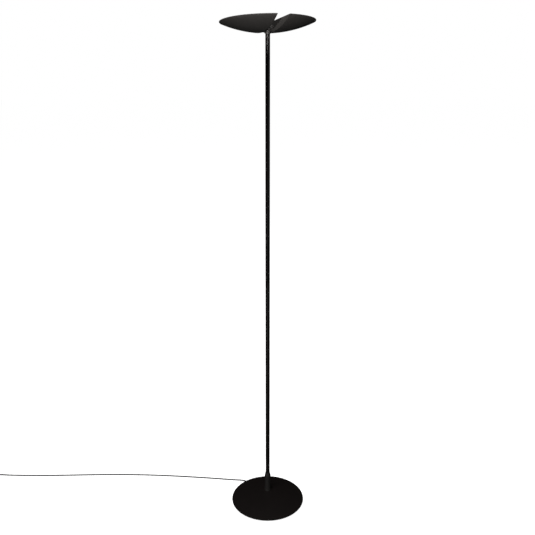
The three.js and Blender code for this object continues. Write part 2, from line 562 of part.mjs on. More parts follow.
// Both leaves are the same set of pieces; the left one is turned half round about the head's axis.
function addLeaf(side, turn) {
  const leaf = new THREE.Group();
  leaf.rotation.z = turn;
  head.add(leaf);
  add(leaf, `friction_washer_${side}`, fibre, annulus(WASHER_RADIUS, WASHER));
  add(leaf, `leaf_shell_${side}`, charcoalPaint, leafShell);
  add(leaf, `spring_washer_${side}`, bareSteel, annulus(SPRING_RADIUS, SPRING_WASHER));
  add(leaf, `axle_nut_${side}`, bareSteel, crosswise(
    cut(hexagon(NUT_FLATS, 0, NUT_THICKNESS), rod(AXLE_RADIUS + GAP, -OVERHANG, NUT_THICKNESS + OVERHANG)),
    NUT[0],
  ));
  add(leaf, `led_driver_${side}`, whitePlastic, driverBox());
  add(leaf, `mains_tail_${side}`, cordJacket, crosswise(
    rod(WIRE_RADIUS, 0, DRIVER.x[0] - AXLE_HALF_LENGTH - 2 * GAP, 12),
    AXLE_HALF_LENGTH + GAP,
  ));
  add(leaf, `heat_plate_${side}`, aluminium, heatPlate());
  bossPlaces.forEach(([x, y], i) => {
    const [headRadius, headHeight] = PLATE_SCREW_HEAD;
    const panHead = turned([[0, -PLATE_SCREW_LENGTH], [PLATE_SCREW_RADIUS, -PLATE_SCREW_LENGTH],
      [PLATE_SCREW_RADIUS, 0], [headRadius, 0], [headRadius - 0.4, headHeight], [0, headHeight]], 10);
    const slotted = cut(panHead, block(3 * headRadius, 0.8, headHeight).translate(0, 0, headHeight));
    add(leaf, `plate_screw_${side}_${i + 1}`, bareSteel, slotted, [x, y, PLATE_TOP + GAP]);
  });
  add(leaf, `led_board_${side}`, boardWhite, ledBoard());
  // From the driver's end the wire swings round and climbs through the hole in the plate.
  const start = DRIVER.x[1] + GAP;
  const boardWire = [
    [start, WIRE_EXIT_Y, WIRE_EXIT_Z],
    [start + 4, WIRE_EXIT_Y, WIRE_EXIT_Z],
    [start + 9, WIRE_EXIT_Y - 0.5, WIRE_EXIT_Z + 0.2],
    [WIRE_HOLE_X - 2.6, WIRE_EXIT_Y - 3.5, WIRE_EXIT_Z + 1.5],
    [WIRE_HOLE_X - 0.3, 1, WIRE_EXIT_Z + 4],
    [WIRE_HOLE_X, 0, PLATE_BOTTOM],
    [WIRE_HOLE_X, 0, BOARD_TOP],
  ];
  add(leaf, `board_wire_${side}`, cordJacket, tube(boardWire, WIRE_RADIUS, 14));
  add(leaf, `diffuser_${side}`, opal, diffuser());
}
addLeaf('right', 0);
addLeaf('left', Math.PI);

// ---------- free cord ----------
// From the relief's tip the cord comes down to the floor and runs off to the side.
const reliefTip = alongGroove(RELIEF_END + GAP).toArray();
const floorRoute = [
  reliefTip, [-101, 120, 3.8], [-114, 124, 3], [-137, 126.5, CORD_Z], [-176, 131, CORD_Z],
  [-240, 138.5, CORD_Z], [-291, 144, CORD_Z], [-342, 149, CORD_Z], [-400, 154, CORD_Z],
  [-480, 159.5, CORD_Z], [-570, 163, CORD_Z], [-670, 164, CORD_Z], [-770, 162, CORD_Z],
  [-870, 159, CORD_Z], [-960, 157.5, CORD_Z], [-1050, 158.5, CORD_Z],
  [-1105, 160, CORD_Z + 0.4], [-1135, 160, DIMMER_CORD_Z - 1],
  [DIMMER_CENTRE.x + DIMMER_LENGTH / 2 + GAP, 160, DIMMER_CORD_Z],
];
add(lamp, 'floor_cord', cordJacket, tube(floorRoute, CORD_RADIUS, 78));

// ---------- foot dimmer ----------
const dimmer = new THREE.Group();
dimmer.position.copy(DIMMER_CENTRE);
lamp.add(dimmer);

const dimmerOutline = (inset) => roundedRectangle(
  DIMMER_LENGTH - 2 * inset,
  DIMMER_WIDTH - 2 * inset,
  DIMMER_CORNER - inset,
);
const DIMMER_SCREW = [1.3, 2.6, 12];
const dimmerScrewPlaces = [[-28, 10, GAP], [28, -10, GAP]];
const dimmerBosses = (low, high) => dimmerScrewPlaces.map(([x, y]) => rod(DIMMER_BOSS_RADIUS, low, high)
  .translate(x, y, 0));
const dimmerHoles = dimmerScrewPlaces.map((place) => screwHole(...DIMMER_SCREW).translate(...place));
const cordPort = aimed(
  rod(CORD_RADIUS + GAP, 0, DIMMER_LENGTH + 20, 20),
  across,
  new THREE.Vector3(-DIMMER_LENGTH / 2 - 10, 0, DIMMER_CORD_Z),
);
const portCollar = aimed(
  rod(DIMMER_COLLAR_RADIUS, 0, DIMMER_LENGTH - 2, 24),
  across,
  new THREE.Vector3(-DIMMER_LENGTH / 2 + 1, 0, DIMMER_CORD_Z),
);
const dimmerCavity = slab(dimmerOutline(DIMMER_WALL), DIMMER_WALL, DIMMER_TOP - DIMMER_WALL);
const dimmerBelow = slab(dimmerOutline(0), 0, DIMMER_SPLIT * 2, DIMMER_EDGE_BELOW);
const dimmerAbove = slab(dimmerOutline(0), 0, DIMMER_TOP, DIMMER_EDGE_ABOVE);
const lowerHalf = block(200, 200, DIMMER_SPLIT).translate(0, 0, DIMMER_SPLIT / 2);
const upperHalf = block(200, 200, 40).translate(0, 0, DIMMER_SPLIT + GAP + 20);
const buttonOpening = rod(BUTTON_RADIUS + GAP, DIMMER_SPLIT, DIMMER_TOP + OVERHANG, 28);
const dimmerTray = join(
  cut(dimmerBelow, dimmerCavity),
  common(portCollar, dimmerBelow),
  ...dimmerBosses(1, DIMMER_SPLIT),
);
add(dimmer, 'dimmer_base', blackPlastic, cut(
  common(dimmerTray, lowerHalf),
  cordPort,
  block(DIMMER_LENGTH - 16, 10, 12).translate(0, 0, DIMMER_WALL + 6),
  ...dimmerHoles,
));
add(dimmer, 'dimmer_cover', blackPlastic, cut(
  common(join(cut(dimmerAbove, dimmerCavity), ...dimmerBosses(DIMMER_SPLIT, DIMMER_TOP - 1)), upperHalf),
  buttonOpening,
  ...dimmerHoles,
));
const flangeTop = DIMMER_TOP - DIMMER_WALL - GAP;
const flangeBottom = flangeTop - BUTTON_FLANGE;
const buttonTop = DIMMER_TOP + BUTTON_STANDS_OUT;
add(dimmer, 'dimmer_button', blackPlastic, turned([
  [0, BUTTON_STEM_END], [BUTTON_STEM_RADIUS, BUTTON_STEM_END], [BUTTON_STEM_RADIUS, flangeBottom],
  [BUTTON_RADIUS + BUTTON_FLANGE, flangeBottom], [BUTTON_RADIUS + BUTTON_FLANGE, flangeTop],
  [BUTTON_RADIUS, flangeTop], [BUTTON_RADIUS, buttonTop - 0.8], [BUTTON_RADIUS - 0.8, buttonTop],
  [0, buttonTop - 0.4],
], 28));
const dimmerBoard = cut(
  slab(roundedRectangle(DIMMER_BOARD.length, DIMMER_BOARD.width, DIMMER_BOARD.corner), ...DIMMER_BOARD.z),
  ...dimmerScrewPlaces.map(([x, y]) => rod(DIMMER_BOARD.bossClearance, 5, 20).translate(x, y, 0)),
);
const switchTop = BUTTON_STEM_END - BUTTON_TRAVEL - GAP;
const switchBottom = DIMMER_BOARD.z[1] - 0.5;
const tactSwitch = block(SWITCH_SIZE, SWITCH_SIZE, switchTop - switchBottom)
  .translate(0, 0, (switchTop + switchBottom) / 2);
const capacitor = block(12, 9, 3).translate(-16, -4, DIMMER_BOARD.z[1] + 1);
add(dimmer, 'dimmer_board', boardWhite, join(dimmerBoard, tactSwitch, capacitor));
dimmerScrewPlaces.forEach((place, i) => {
  add(dimmer, `dimmer_screw_${i + 1}`, bareSteel, screw(...DIMMER_SCREW), place);
});

// ---------- coil, tie and plug ----------
// The feed meets the outer turn side on, so it stops where it would touch the coil.
const coilReach = Math.sqrt((OUTER_TURN + CORD_RADIUS + 2 * GAP) ** 2 - (OUTER_TURN - CORD_RADIUS) ** 2);
const feedEnd = COIL_CENTRE.x + coilReach;
const firstTurnY = COIL_CENTRE.y - OUTER_TURN;
const lastTurnY = COIL_CENTRE.y + OUTER_TURN;
const firstLayerZ = COIL_BOTTOM + CORD_RADIUS;
const topLayerZ = COIL_BOTTOM + 3 * CORD_RADIUS;
const dimmerEnd = DIMMER_CENTRE.x - DIMMER_LENGTH / 2 - GAP;
add(lamp, 'coil_feed', cordJacket, tube([
  [dimmerEnd, firstTurnY, DIMMER_CORD_Z],
  [(dimmerEnd + feedEnd) / 2, firstTurnY, (DIMMER_CORD_Z + firstLayerZ) / 2],
  [feedEnd, firstTurnY, firstLayerZ],
], CORD_RADIUS, 3));

const coilTop = COIL_BOTTOM + 4 * CORD_RADIUS;
const [coilInner, coilOuter] = [COIL_RADIUS - 2 * CORD_RADIUS, COIL_RADIUS + 2 * CORD_RADIUS];
add(lamp, 'cord_coil', cordJacket, turned([[coilInner, COIL_BOTTOM + COIL_ROUNDING],
  [coilInner + COIL_ROUNDING, COIL_BOTTOM], [coilOuter - COIL_ROUNDING, COIL_BOTTOM],
  [coilOuter, COIL_BOTTOM + COIL_ROUNDING], [coilOuter, coilTop - COIL_ROUNDING],
  [coilOuter - COIL_ROUNDING, coilTop], [coilInner + COIL_ROUNDING, coilTop],
  [coilInner, coilTop - COIL_ROUNDING]], 32).translate(...COIL_CENTRE.toArray()));

// The tie is a band round the coil's ring.
const tieRectangle = ([left, right], low, high) => [[left, low], [right, low], [right, high], [left, high]]
  .map(([x, z]) => new THREE.Vector2(x, z));
const tieBottom = 0.1;
const tieTop = coilTop + GAP + TIE_THICKNESS;
const tieSection = new THREE.Shape(tieRectangle(TIE_REACH, tieBottom, tieTop));
tieSection.holes.push(new THREE.Path(tieRectangle(
  [TIE_REACH[0] + TIE_THICKNESS, TIE_REACH[1] - TIE_THICKNESS],
  tieBottom + TIE_THICKNESS,
  tieTop - TIE_THICKNESS,
).toReversed()));
add(lamp, 'coil_tie', blackPlastic, slab(tieSection, -TIE_WIDTH / 2, TIE_WIDTH / 2).rotateX(Math.PI / 2)
  .rotateZ(Math.PI).translate(COIL_CENTRE.x - COIL_RADIUS, COIL_CENTRE.y, 0));

const plugZ = PLUG_BOTTOM + PLUG_THICKNESS / 2;
add(lamp, 'plug_cord', cordJacket, tube([
  [feedEnd, lastTurnY, topLayerZ], [(feedEnd + PLUG_REAR_X) / 2, lastTurnY, (topLayerZ + plugZ) / 2],
  [PLUG_REAR_X - GAP, lastTurnY, plugZ],
], CORD_RADIUS, 3));

// A flat two-pin plug: narrow at the cord, full width at the pins.
const plug = new THREE.Group();
plug.position.set(PLUG_REAR_X, lastTurnY, 0);
lamp.add(plug);
const [neckLength, neckHalfWidth] = PLUG_NECK;
const plugShape = new THREE.Shape();
plugShape.moveTo(0, -PLUG_REAR_HALF_WIDTH);
plugShape.lineTo(neckLength, -neckHalfWidth);
plugShape.quadraticCurveTo(neckLength + 6, -PLUG_HALF_WIDTH + 1.6, PLUG_SHOULDER, -PLUG_HALF_WIDTH);
plugShape.lineTo(PLUG_LENGTH, -PLUG_HALF_WIDTH);
plugShape.lineTo(PLUG_LENGTH, PLUG_HALF_WIDTH);
plugShape.lineTo(PLUG_SHOULDER, PLUG_HALF_WIDTH);
plugShape.quadraticCurveTo(neckLength + 6, PLUG_HALF_WIDTH - 1.6, neckLength, neckHalfWidth);
plugShape.lineTo(0, PLUG_REAR_HALF_WIDTH);
const plugPins = [-1, 1].map((side) => [PLUG_LENGTH - PLUG_PIN_DEPTH, (side * PIN_SPACING) / 2, plugZ]);
add(plug, 'plug_body', blackPlastic, cut(
  slab(plugShape, PLUG_BOTTOM, PLUG_BOTTOM + PLUG_THICKNESS, PLUG_EDGE),
  ...plugPins.map((place) => aimed(rod(PLUG_PIN_RADIUS + GAP, 0, 20), across, new THREE.Vector3(...place))),
));
plugPins.forEach(([x, y, z], i) => {
  const pin = turned([[0, GAP], [PLUG_PIN_RADIUS, GAP], [PLUG_PIN_RADIUS, PLUG_PIN_LENGTH - 1.5],
    [0.6 * PLUG_PIN_RADIUS, PLUG_PIN_LENGTH], [0, PLUG_PIN_LENGTH]], 16);
  add(plug, `plug_pin_${i + 1}`, nickel, aimed(pin, across), [x, y, z]);
});

export default lamp;
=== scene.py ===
import json
import math

import bmesh
import bpy
from mathutils import Matrix, Vector


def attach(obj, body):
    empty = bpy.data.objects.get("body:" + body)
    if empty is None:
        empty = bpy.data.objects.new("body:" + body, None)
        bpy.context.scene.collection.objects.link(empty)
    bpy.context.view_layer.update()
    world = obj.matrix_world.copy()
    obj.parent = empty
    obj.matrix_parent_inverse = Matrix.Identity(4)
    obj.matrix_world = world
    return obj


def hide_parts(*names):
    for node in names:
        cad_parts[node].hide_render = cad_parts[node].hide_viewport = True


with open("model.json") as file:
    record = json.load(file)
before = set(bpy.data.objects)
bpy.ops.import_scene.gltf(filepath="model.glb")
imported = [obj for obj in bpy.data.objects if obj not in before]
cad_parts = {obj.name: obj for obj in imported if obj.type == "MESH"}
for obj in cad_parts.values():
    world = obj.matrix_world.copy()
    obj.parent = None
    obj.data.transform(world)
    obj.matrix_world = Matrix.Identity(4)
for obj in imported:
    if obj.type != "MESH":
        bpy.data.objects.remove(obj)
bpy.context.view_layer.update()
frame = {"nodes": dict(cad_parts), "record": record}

MM = 0.001  # the outlines below are in millimetres, the finished meshes in metres
COLLECTION = bpy.context.scene.collection

# ---------- dimensions shared with the frame, in millimetres ----------
POLE_Y = 53
POLE_RADIUS = 8
POLE_BORE = 6.6
POLE_TOP = 1761
PIN_Z = 1783
HALF_SLIT = 14.8  # at the hinge
SWIVEL_AT_REST = math.radians(18.6)
TILT_AT_REST = math.radians(-3.4)
CORD_RADIUS = 2.5
DIMMER_CENTRE = (-1195, 160)
COIL_CENTRE = (-1282, 190)
PLUG_REAR_X = -1238
PLUG_Y = 220
GROOVE_ANGLE = math.radians(146)
SOCKET_RADIUS = 12
SOCKET_TOP = 90
POLE_FOOT = 34.3
POLE_SEAM = 896
GAP = 0.3  # between neighbouring pieces
KNUCKLE_RADIUS = 10.5
KNUCKLE_HALF_WIDTH = HALF_SLIT - 1.3
AXLE_BORE = 4.3
LEAD_BORE = 2.9
DIMMER_LENGTH = 82
DIMMER_WIDTH = 36
DIMMER_CORNER = 12
DIMMER_CORD_Z = 6
PLUG_CORD_Z = 7

pole_place = Matrix.Translation((0, POLE_Y, 0))
swivel_place = Matrix.Translation((0, POLE_Y, PIN_Z)) @ Matrix.Rotation(SWIVEL_AT_REST, 4, "Z")
head_place = swivel_place @ Matrix.Rotation(TILT_AT_REST, 4, "X")
along_x = Matrix.Rotation(math.pi / 2, 4, "Y")
HALF_TURN = Matrix.Rotation(math.pi, 4, "Z")


# ---------- camera ----------
camera_data = bpy.data.cameras.new("camera")
camera_data.sensor_width = 36
camera_data.lens = 42.46
camera_data.clip_start = 0.05
camera_data.clip_end = 200
camera = bpy.data.objects.new("camera", camera_data)
camera.location = (-0.0006, -2.180, 1.597)
camera.rotation_euler = (math.radians(90 - 16.06), 0, 0)
COLLECTION.objects.link(camera)
bpy.context.scene.camera = camera


# ---------- materials ----------
def node(tree, kind, **inputs):
    made = tree.nodes.new(kind)
    for name, value in inputs.items():
        made.inputs[name.replace("_", " ")].default_value = value
    return made


def surface(name, low, high, rough, grain, depth, mottle=45, stretch=(1, 1, 1), **settings):
    """A Principled material: its colour wanders from low to high, its roughness over rough, and it has a grain.

    mottle and grain are the scales of the coarse and the fine noise, and depth is the grain's height in metres.
    """
    material = bpy.data.materials.new(name)
    material.use_nodes = True
    tree = material.node_tree
    shader = tree.nodes["Principled BSDF"]
    for socket, value in settings.items():
        shader.inputs[socket.replace("_", " ")].default_value = value
    place = node(tree, "ShaderNodeTexCoord")
    mapping = node(tree, "ShaderNodeMapping", Scale=stretch)
    tree.links.new(place.outputs["Object"], mapping.inputs["Vector"])
    cloud = node(tree, "ShaderNodeTexNoise", Scale=mottle, Detail=4.0, Roughness=0.6)
    fine = node(tree, "ShaderNodeTexNoise", Scale=grain, Detail=3.0, Roughness=0.55)
    for texture in (cloud, fine):
        tree.links.new(mapping.outputs["Vector"], texture.inputs["Vector"])
    tint = node(tree, "ShaderNodeMix")
    tint.data_type = "RGBA"
    tint.inputs["A"].default_value = (*low, 1)
    tint.inputs["B"].default_value = (*high, 1)
    spread = node(tree, "ShaderNodeMapRange", From_Min=0.3, From_Max=0.7)
    tree.links.new(cloud.outputs["Fac"], spread.inputs["Value"])
    tree.links.new(spread.outputs["Result"], tint.inputs["Factor"])
    tree.links.new(tint.outputs["Result"], shader.inputs["Base Color"])
    polish = node(tree, "ShaderNodeMapRange", From_Min=0.3, From_Max=0.7, To_Min=rough[0], To_Max=rough[1])
    tree.links.new(fine.outputs["Fac"], polish.inputs["Value"])
    tree.links.new(polish.outputs["Result"], shader.inputs["Roughness"])
    bump = node(tree, "ShaderNodeBump", Strength=0.5, Distance=depth)
    tree.links.new(fine.outputs["Fac"], bump.inputs["Height"])
    tree.links.new(bump.outputs["Normal"], shader.inputs["Normal"])
    return material


MATERIALS = {
    "black_paint": surface(
        "black_paint", (0.0060, 0.0040, 0.0036), (0.0078, 0.0054, 0.0048), (0.36, 0.46), 1100, 0.00002,
        IOR=1.45),
    "charcoal_paint": surface(
        "charcoal_paint", (0.0165, 0.0148, 0.0136), (0.0205, 0.0186, 0.0172), (0.58, 0.68), 1300, 0.00002,
        IOR=1.4),
    "bare_steel": surface(
        "bare_steel", (0.42, 0.43, 0.45), (0.56, 0.57, 0.58), (0.28, 0.42), 900, 0.00002, Metallic=1.0),
    "aluminium": surface(
        "aluminium", (0.62, 0.63, 0.64), (0.74, 0.75, 0.76), (0.3, 0.42), 500, 0.00002,
        stretch=(0.08, 1, 1), Metallic=1.0),
    "opal": surface(
        "opal", (0.84, 0.83, 0.8), (0.89, 0.88, 0.85), (0.34, 0.42), 1500, 0.00001, mottle=14,
        Subsurface_Weight=0.25, Subsurface_Scale=0.004),
    "board_white": surface(
        "board_white", (0.74, 0.76, 0.73), (0.82, 0.83, 0.8), (0.35, 0.5), 700, 0.00002),
    "black_rubber": surface(
        "black_rubber", (0.006, 0.006, 0.006), (0.012, 0.012, 0.012), (0.7, 0.85), 1600, 0.00006),
    "cord_jacket": surface(
        "cord_jacket", (0.007, 0.0065, 0.006), (0.011, 0.0105, 0.01), (0.42, 0.55), 1300, 0.00003),
    "black_plastic": surface(
        "black_plastic", (0.006, 0.006, 0.006), (0.01, 0.01, 0.01), (0.38, 0.5), 2200, 0.00005),
    "fibre": surface(
        "fibre", (0.018, 0.014, 0.011), (0.028, 0.023, 0.018), (0.65, 0.8), 1800, 0.00005, mottle=400),
    "white_plastic": surface(
        "white_plastic", (0.68, 0.67, 0.62), (0.74, 0.73, 0.69), (0.4, 0.5), 1500, 0.00003),
    "nickel": surface(
        "nickel", (0.6, 0.59, 0.56), (0.7, 0.69, 0.66), (0.14, 0.22), 900, 0.00001,
        stretch=(0.1, 1, 1), Metallic=1.0),
}


# ---------- mesh helpers ----------
def fillet(corners, steps=4):
    """A closed outline of (u, v, radius) corners, each one rounded to its radius."""
    points = []
    for i, (u, v, radius) in enumerate(corners):
        corner = Vector((u, v))
        if not radius:
            points.append(corner)
            continue
        back = Vector(corners[i - 1][:2]) - corner
        ahead = Vector(corners[(i + 1) % len(corners)][:2]) - corner
        half = back.angle(ahead) / 2
        reach = min(radius / math.tan(half), 0.49 * back.length, 0.49 * ahead.length)
        radius = reach * math.tan(half)
        centre = corner + (back.normalized() + ahead.normalized()).normalized() * (radius / math.sin(half))
        first = corner + back.normalized() * reach - centre
        turn = first.angle_signed(corner + ahead.normalized() * reach - centre)
        points += [centre + Matrix.Rotation(-turn * k / steps, 2) @ first for k in range(steps + 1)]
    return [tuple(point) for point in points]


def finished(name, mesh_data, place=None, sharp=38):
    """The object of a bmesh in millimetres: moved by place, scaled to metres and smoothly shaded."""
    to_scene = Matrix.Scale(MM, 4) @ (place or Matrix.Identity(4))
    bmesh.ops.remove_doubles(mesh_data, verts=mesh_data.verts, dist=1e-4)
    bmesh.ops.recalc_face_normals(mesh_data, faces=mesh_data.faces)
    bmesh.ops.transform(mesh_data, matrix=to_scene, verts=mesh_data.verts)
    mesh = bpy.data.meshes.new(name)
    mesh_data.to_mesh(mesh)
    mesh_data.free()
    shade(mesh, sharp)
    made = bpy.data.objects.new(name, mesh)
    COLLECTION.objects.link(made)
    return made


def shade(mesh, sharp):
    mesh.shade_smooth()
    mesh.set_sharp_from_angle(angle=math.radians(sharp))


def loft(name, rings, place=None, sharp=38, tube=False):
    """Faces between rings of points: tube joins the last ring to the first, otherwise both ends are capped."""
    data = bmesh.new()
    made = [[data.verts.new(point) for point in ring] for ring in rings]
    pairs = list(zip(made, made[1:])) + ([(made[-1], made[0])] if tube else [])
    for first, second in pairs:
        count = max(len(first), len(second))
        for i in range(count):
            j = (i + 1) % count
            corners = [first[i % len(first)], first[j % len(first)],
                       second[j % len(second)], second[i % len(second)]]
            kept = [v for k, v in enumerate(corners) if v not in corners[:k]]
            if len(kept) > 2:
                data.faces.new(kept)
    if not tube:
        for ring in (made[0], made[-1]):
            if len(ring) > 2:
                data.faces.new(ring)
    return finished(name, data, place, sharp)


def lathe(name, outline, place=None, segments=96, sharp=38):
    """A solid of revolution about Z from a closed outline of (radius, height) points."""
    turns = [2 * math.pi * i / segments for i in range(segments)]
    rings = []
    for radius, height in outline:
        count = 1 if radius < 1e-6 else segments
        rings.append([(radius * math.cos(a), radius * math.sin(a), height) for a in turns[:count]])
    on_axis = [len(ring) == 1 for ring in rings]
    if any(on_axis):
        while not on_axis[0]:
            rings.append(rings.pop(0))
            on_axis.append(on_axis.pop(0))
        if on_axis[-1]:
            return loft(name, rings, place, sharp)
    return loft(name, rings, place, sharp, tube=True)


def rod(name, radius, low, high, place=None, segments=48):
    return lathe(name, [(0, low), (radius, low), (radius, high), (0, high)], place, segments)


def combine(target, operation, *others, sharp=38):
    """Cuts the others from target, or joins them to it, and removes them."""
    for other in others:
        modifier = target.modifiers.new("combine", "BOOLEAN")
        modifier.operation = operation
        modifier.solver = "EXACT"
        modifier.object = other
        shape = target.evaluated_get(bpy.context.evaluated_depsgraph_get())
        mesh = bpy.data.meshes.new_from_object(shape)
        target.modifiers.clear()
        old = target.data
        target.data = mesh
        bpy.data.meshes.remove(old)
        bpy.data.objects.remove(other)
    target.data.name = target.name
    shade(target.data, sharp)
    return target


def dress(piece, slot, body, *nodes):
    """Gives a new piece its material, its body and the nodes it stands for."""
    piece.data.materials.clear()
    piece.data.materials.append(MATERIALS[slot])
    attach(piece, body)
    if nodes:
        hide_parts(*nodes)
    return piece


def at_angle(place, degrees, radius):
    """A place that far out from the middle of another, in the direction of that angle about its Z."""
    return place @ Matrix.Rotation(math.radians(degrees), 4, "Z") @ Matrix.Translation((radius, 0, 0))


def rounded_rectangle(length, width, corner, steps=8):
    x, y = length / 2, width / 2
    return fillet([(x, -y, corner), (x, y, corner), (-x, y, corner), (-x, -y, corner)], steps)


# ---------- cord ----------
# Its path in metres: from the relief's tip along the floor and through the dimmer, round the coil, to the plug.
floor_route = [
    (-0.0914, 0.1147, 0.0044), (-0.101, 0.120, 0.0038), (-0.114, 0.124, 0.003), (-0.137, 0.1265, 0.0026),
    (-0.176, 0.131, 0.0026), (-0.240, 0.1385, 0.0026), (-0.291, 0.144, 0.0026), (-0.342, 0.149, 0.0026),
    (-0.400, 0.154, 0.0026), (-0.480, 0.1595, 0.0026), (-0.570, 0.163, 0.0026), (-0.670, 0.164, 0.0026),
    (-0.770, 0.162, 0.0026), (-0.870, 0.159, 0.0026), (-0.960, 0.1575, 0.0026), (-1.050, 0.1585, 0.0026),
    (-1.105, 0.160, 0.003), (-1.135, 0.160, 0.005), (-1.1537, 0.160, 0.006), (-1.195, 0.160, 0.006),
    (-1.236, 0.160, 0.006), (-1.259, 0.160, 0.0045),
]
COIL_TURNS = [  # radius and height of the turns, in metres, as a share of the way round
    (0.030, 0.0035, 1.0), (0.025, 0.0035, 1.0), (0.025, 0.0085, 1.0), (0.030, 0.0085, 0.5),
]
STEPS_PER_TURN = 16


def coil_route():
    """Turns laid beside and on each other; each one starts with a quarter of a turn that leads over to it."""
    points = []
    centre = Vector((COIL_CENTRE[0] * MM, COIL_CENTRE[1] * MM))
    start = -math.pi / 2
    done = 0.0
    for k, (radius, height, share) in enumerate(COIL_TURNS):
        before = COIL_TURNS[k - 1][:2] if k else (radius, height)
        count = round(STEPS_PER_TURN * share)
        for i in range(count):
            blend = min(1.0, 4 * i / STEPS_PER_TURN) if k else 1.0
            blend = blend * blend * (3 - 2 * blend)
            r = before[0] + (radius - before[0]) * blend
            z = before[1] + (height - before[1]) * blend
            angle = start - 2 * math.pi * (done + i / STEPS_PER_TURN)
            points.append((centre.x + r * math.cos(angle), centre.y + r * math.sin(angle), z))
        done += share
    radius, height, _ = COIL_TURNS[-1]
    points.append((centre.x, centre.y + radius, height))
    return points


plug_end = [(-1.268, 0.220, 0.0083), (-1.252, 0.220, 0.0072), (-1.2383, 0.220, 0.007)]
cord_points = floor_route + coil_route() + plug_end

curve = bpy.data.curves.new("mains_cord", "CURVE")
curve.dimensions = "3D"
curve.bevel_depth = CORD_RADIUS * MM
curve.bevel_resolution = 4
curve.resolution_u = 8
curve.use_fill_caps = True
spline = curve.splines.new("BEZIER")
spline.bezier_points.add(len(cord_points) - 1)
for knot, point in zip(spline.bezier_points, cord_points):
    knot.co = point
    knot.handle_left_type = knot.handle_right_type = "AUTO"
mains_cord = bpy.data.objects.new("mains_cord", curve)
COLLECTION.objects.link(mains_cord)
dress(mains_cord, "cord_jacket", "stand", "floor_cord", "coil_feed", "cord_coil", "plug_cord")


# ---------- base ----------
base_outline = fillet([(0, 2, 0), (131, 2, 0.6), (142, 8.4, 0.5), (142, 10, 0.7), (0, 10, 0)])
groove = Matrix.Translation((0, POLE_Y, 0)) @ Matrix.Rotation(GROOVE_ANGLE, 4, "Z")


def channel(name, start, end, half_width, top, bottom=-1):
    corners = [(start, -half_width), (end, -half_width), (end, half_width), (start, half_width)]
    return loft(name, [[(x, y, z) for x, y in corners] for z in (bottom, top)], groove)


base = lathe("base_plate", base_outline, segments=256)
combine(base, "DIFFERENCE", channel("cut", 0, 84, 3.2, 7.9), channel("cut", 80, 130, 4.4, 8.6),
        rod("cut", 5, -1, 12, pole_place))
dress(base, "black_paint", "stand", "base_disc")

pad = lathe("foot_pad", fillet([(0, 0, 0), (128, 0, 0.4), (128, 1.9, 0.2), (0, 1.9, 0)]), segments=192)
combine(pad, "DIFFERENCE", rod("cut", 15, -1, 3, pole_place), channel("cut", 0, 150, 7, 3),
        channel("cut", 50, 62, 14, 3))
dress(pad, "black_rubber", "stand", "base_pad")

relief_place = (Matrix.Translation((0, POLE_Y, 4.4)) @ Matrix.Rotation(GROOVE_ANGLE, 4, "Z")
                @ Matrix.Translation((84, 0, 0)) @ along_x)
relief_outline = [(2.8, 0), (3.8, 0), (3.8, 2.5)]
for ring in range(7):
    at = 4 + 3 * ring
    relief_outline += [(3.5 - 0.05 * ring, at), (3.5 - 0.05 * ring, at + 2), (3.15 - 0.03 * ring, at + 2.25),
                       (3.15 - 0.03 * ring, at + 2.75)]
relief_outline += [(3.1, 25), (3.1, 26), (2.8, 26)]
relief = lathe("cord_strain_relief", relief_outline, relief_place, 40, sharp=30)
dress(relief, "black_rubber", "stand", "strain_relief")

# ---------- socket and pole ----------
SOCKET_FOOT = SOCKET_RADIUS + 0.8
socket = lathe("pole_foot_socket", fillet([
    (4, 10.3, 0), (SOCKET_FOOT, 10.3, 0.3), (SOCKET_FOOT, 11.8, 0.5), (SOCKET_RADIUS, 12.6, 0.4),
    (SOCKET_RADIUS, 75, 1.2), (POLE_RADIUS + 1, SOCKET_TOP, 0.4), (POLE_RADIUS + GAP, SOCKET_TOP, 0),
    (POLE_RADIUS + GAP, POLE_FOOT - GAP, 0), (4, POLE_FOOT - GAP, 0)]), pole_place, 96)
to_rear = Matrix.Translation((0, POLE_Y, 56)) @ Matrix.Rotation(-math.pi / 2, 4, "X")
combine(socket, "DIFFERENCE", rod("cut", 2.5, 0, 24, to_rear, 32))
dress(socket, "charcoal_paint", "stand", "pole_socket")


def tube_piece(name, low, high, node_name):
    outline = fillet([(POLE_BORE, low, 0), (POLE_RADIUS, low, 0.3), (POLE_RADIUS, high, 0.3),
                      (POLE_BORE, high, 0)])
    dress(lathe(name, outline, pole_place, 64), "black_paint", "stand", node_name)


tube_piece("pole_tube_lower", POLE_FOOT, POLE_SEAM - GAP / 2, "pole_lower")
tube_piece("pole_tube_upper", POLE_SEAM + GAP / 2, POLE_TOP, "pole_upper")
bush = lathe("swivel_collar", fillet([
    (4.6, POLE_TOP - 22, 0), (POLE_BORE - GAP, POLE_TOP - 22, 0.3), (POLE_BORE - GAP, POLE_TOP + GAP, 0),
    (POLE_RADIUS, POLE_TOP + GAP, 0.3), (POLE_RADIUS, POLE_TOP + 2, 0.4), (4.6, POLE_TOP + 2, 0)]),
    pole_place, 64)
dress(bush, "black_plastic", "stand", "swivel_bush")

